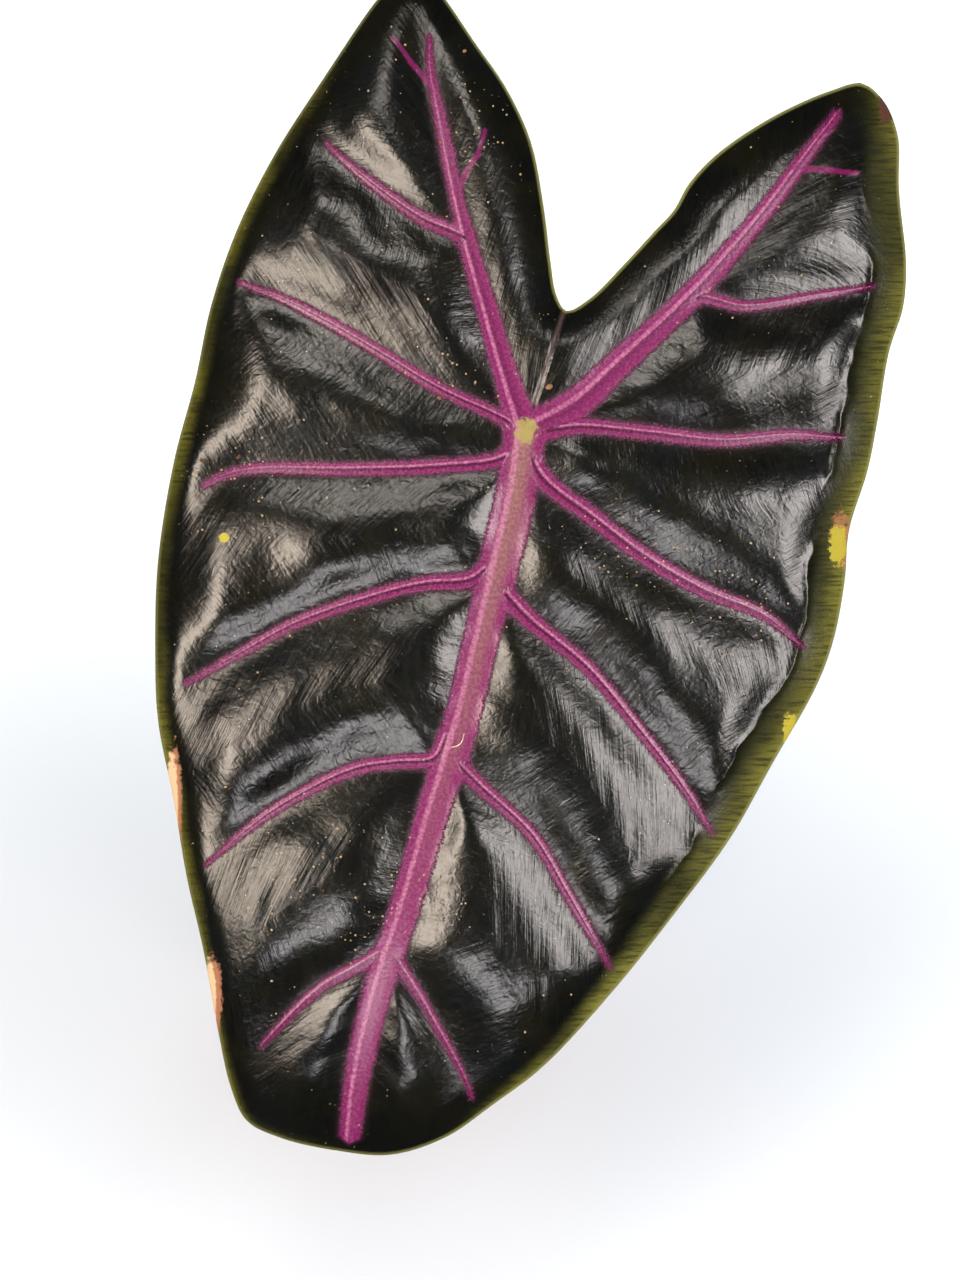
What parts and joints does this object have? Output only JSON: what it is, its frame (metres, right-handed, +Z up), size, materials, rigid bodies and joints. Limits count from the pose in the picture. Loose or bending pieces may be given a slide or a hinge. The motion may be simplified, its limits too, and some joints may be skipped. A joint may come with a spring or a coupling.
{
  "type": "potted alocasia",
  "caption": "Potted aroid houseplant: a large heart-shaped leaf with bold veins on an arching stalk, in a plain round nursery pot with bark mix.",
  "frame": {"origin": "centre of the pot's flat underside, on the surface it stands on", "axes": "+Z up along the pot's axis; the leaf's face looks towards -Y and up; +X to the right seen from the leaf's front"},
  "size_m": [0.2695, 0.3394, 0.5147],
  "materials": {
    "pot": "moulded terracotta-coloured plastic, satin",
    "soil": "loose damp bark and perlite mix, rough",
    "rhizome": "corky ringed stem, rough",
    "papery_scale": "dry papery fibre, thin",
    "stalk": "smooth waxy purple-brown skin, slight gloss",
    "leaf_blade": "glossy black-green leaf with magenta veins"
  },
  "bodies": {
    "root": {"pot": "pot", "soil": "soil", "rhizome": "rhizome", "papery_scale": "papery_scale", "stalk": "stalk", "leaf_blade": "leaf_blade"}
  },
  "joints": []
}
